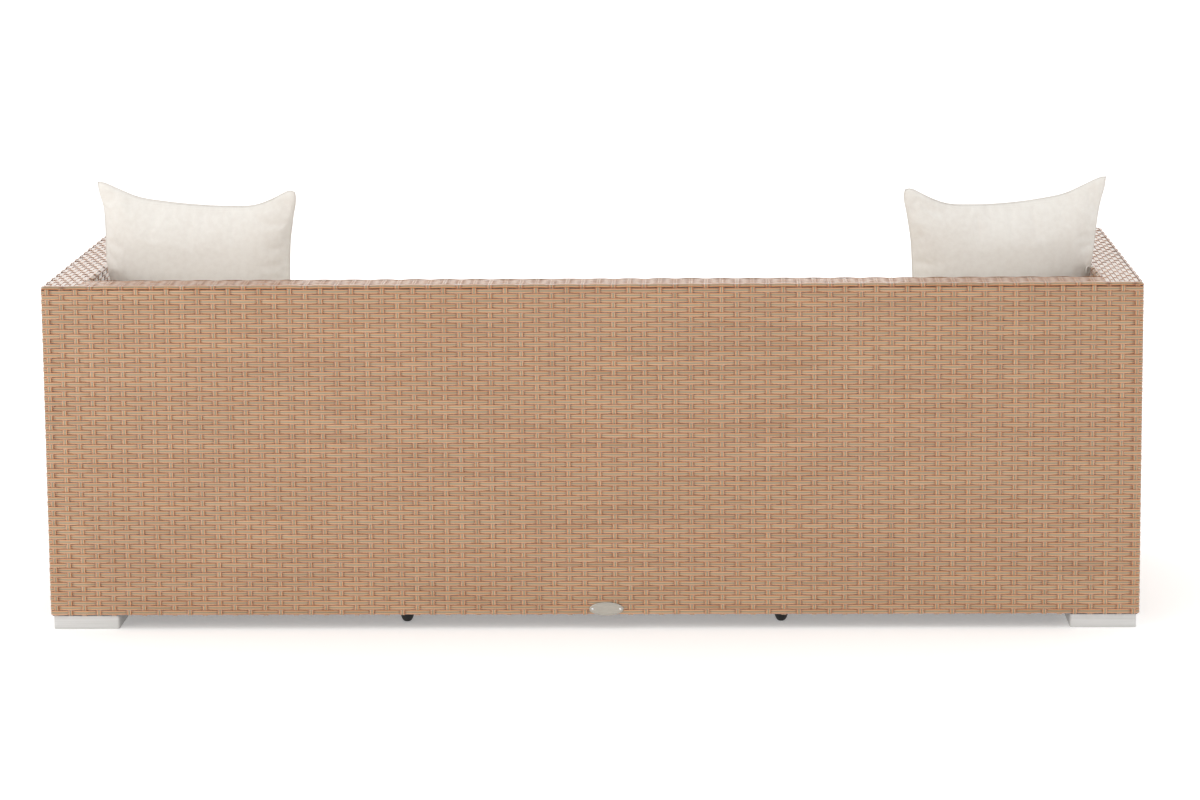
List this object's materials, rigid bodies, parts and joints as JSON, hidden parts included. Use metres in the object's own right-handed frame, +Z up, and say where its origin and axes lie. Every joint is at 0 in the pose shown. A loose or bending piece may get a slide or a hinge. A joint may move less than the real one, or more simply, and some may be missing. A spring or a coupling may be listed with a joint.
{
  "type": "rattan garden sofa",
  "caption": "Long woven-wicker garden sofa with walls of one height round back and ends, low corner feet, loose seat and back cushions and throw pillows.",
  "frame": {"origin": "on the floor under the middle of the sofa", "axes": "+Z up, +X along the length towards the sitter's left, the seat opens towards -Y"},
  "size_m": [2.07, 0.8515, 0.8243],
  "materials": {
    "wicker": "satin",
    "frame_tube": "satin",
    "foot": "satin",
    "glide": "matte",
    "plate": "satin",
    "cushion_cloth": "matte",
    "pillow_cloth": "matte"
  },
  "bodies": {
    "frame": {"back_outer_weave": "wicker", "back_inner_weave": "wicker", "back_top_weave": "wicker", "left_arm_outer_weave": "wicker", "left_arm_inner_weave": "wicker", "left_arm_top_weave": "wicker", "left_arm_front_weave": "wicker", "right_arm_outer_weave": "wicker", "right_arm_inner_weave": "wicker", "right_arm_top_weave": "wicker", "right_arm_front_weave": "wicker", "front_apron_weave": "wicker", "seat_deck_weave": "wicker", "rear_left_post": "frame_tube", "front_left_post": "frame_tube", "rear_left_inner_post": "frame_tube", "front_left_inner_post": "frame_tube", "rear_right_post": "frame_tube", "front_right_post": "frame_tube", "rear_right_inner_post": "frame_tube", "front_right_inner_post": "frame_tube", "back_top_rail": "frame_tube", "back_stretcher": "frame_tube", "back_bottom_rail": "frame_tube", "back_inner_rail": "frame_tube", "rear_seat_rail": "frame_tube", "front_seat_rail": "frame_tube", "front_bottom_rail": "frame_tube", "left_arm_top_rail": "frame_tube", "left_arm_bottom_rail": "frame_tube", "left_arm_inner_rail": "frame_tube", "left_seat_rail": "frame_tube", "right_arm_top_rail": "frame_tube", "right_arm_bottom_rail": "frame_tube", "right_arm_inner_rail": "frame_tube", "right_seat_rail": "frame_tube", "left_seat_bearer": "frame_tube", "front_left_middle_leg": "frame_tube", "rear_left_middle_leg": "frame_tube", "right_seat_bearer": "frame_tube", "front_right_middle_leg": "frame_tube", "rear_right_middle_leg": "frame_tube", "rear_left_foot": "foot", "rear_right_foot": "foot", "front_left_foot": "foot", "front_right_foot": "foot", "front_left_glide": "glide", "front_right_glide": "glide", "rear_left_glide": "glide", "rear_right_glide": "glide", "oval_plate": "plate"},
    "right_seat": {"right_seat_cushion": "cushion_cloth"},
    "middle_seat": {"middle_seat_cushion": "cushion_cloth"},
    "left_seat": {"left_seat_cushion": "cushion_cloth"},
    "right_backrest": {"right_back_cushion": "cushion_cloth"},
    "middle_backrest": {"middle_back_cushion": "cushion_cloth"},
    "left_backrest": {"left_back_cushion": "cushion_cloth"},
    "left_throw": {"left_pillow": "pillow_cloth"},
    "right_throw": {"right_pillow": "pillow_cloth"}
  },
  "joints": [
    {"name": "right_seat_lift", "type": "slide", "parent": "frame", "child": "right_seat", "axis": [0, 0, 1], "range_m": [0, 0.4]},
    {"name": "middle_seat_lift", "type": "slide", "parent": "frame", "child": "middle_seat", "axis": [0, 0, 1], "range_m": [0, 0.4]},
    {"name": "left_seat_lift", "type": "slide", "parent": "frame", "child": "left_seat", "axis": [0, 0, 1], "range_m": [0, 0.4]},
    {"name": "right_backrest_lift", "type": "slide", "parent": "frame", "child": "right_backrest", "axis": [0, 0, 1], "range_m": [0, 0.4]},
    {"name": "middle_backrest_lift", "type": "slide", "parent": "frame", "child": "middle_backrest", "axis": [0, 0, 1], "range_m": [0, 0.4]},
    {"name": "left_backrest_lift", "type": "slide", "parent": "frame", "child": "left_backrest", "axis": [0, 0, 1], "range_m": [0, 0.4]},
    {"name": "left_pillow_lift", "type": "slide", "parent": "left_seat", "child": "left_throw", "axis": [0, 0, 1], "range_m": [0, 0.3]},
    {"name": "right_pillow_lift", "type": "slide", "parent": "right_seat", "child": "right_throw", "axis": [0, 0, 1], "range_m": [0, 0.3]}
  ]
}
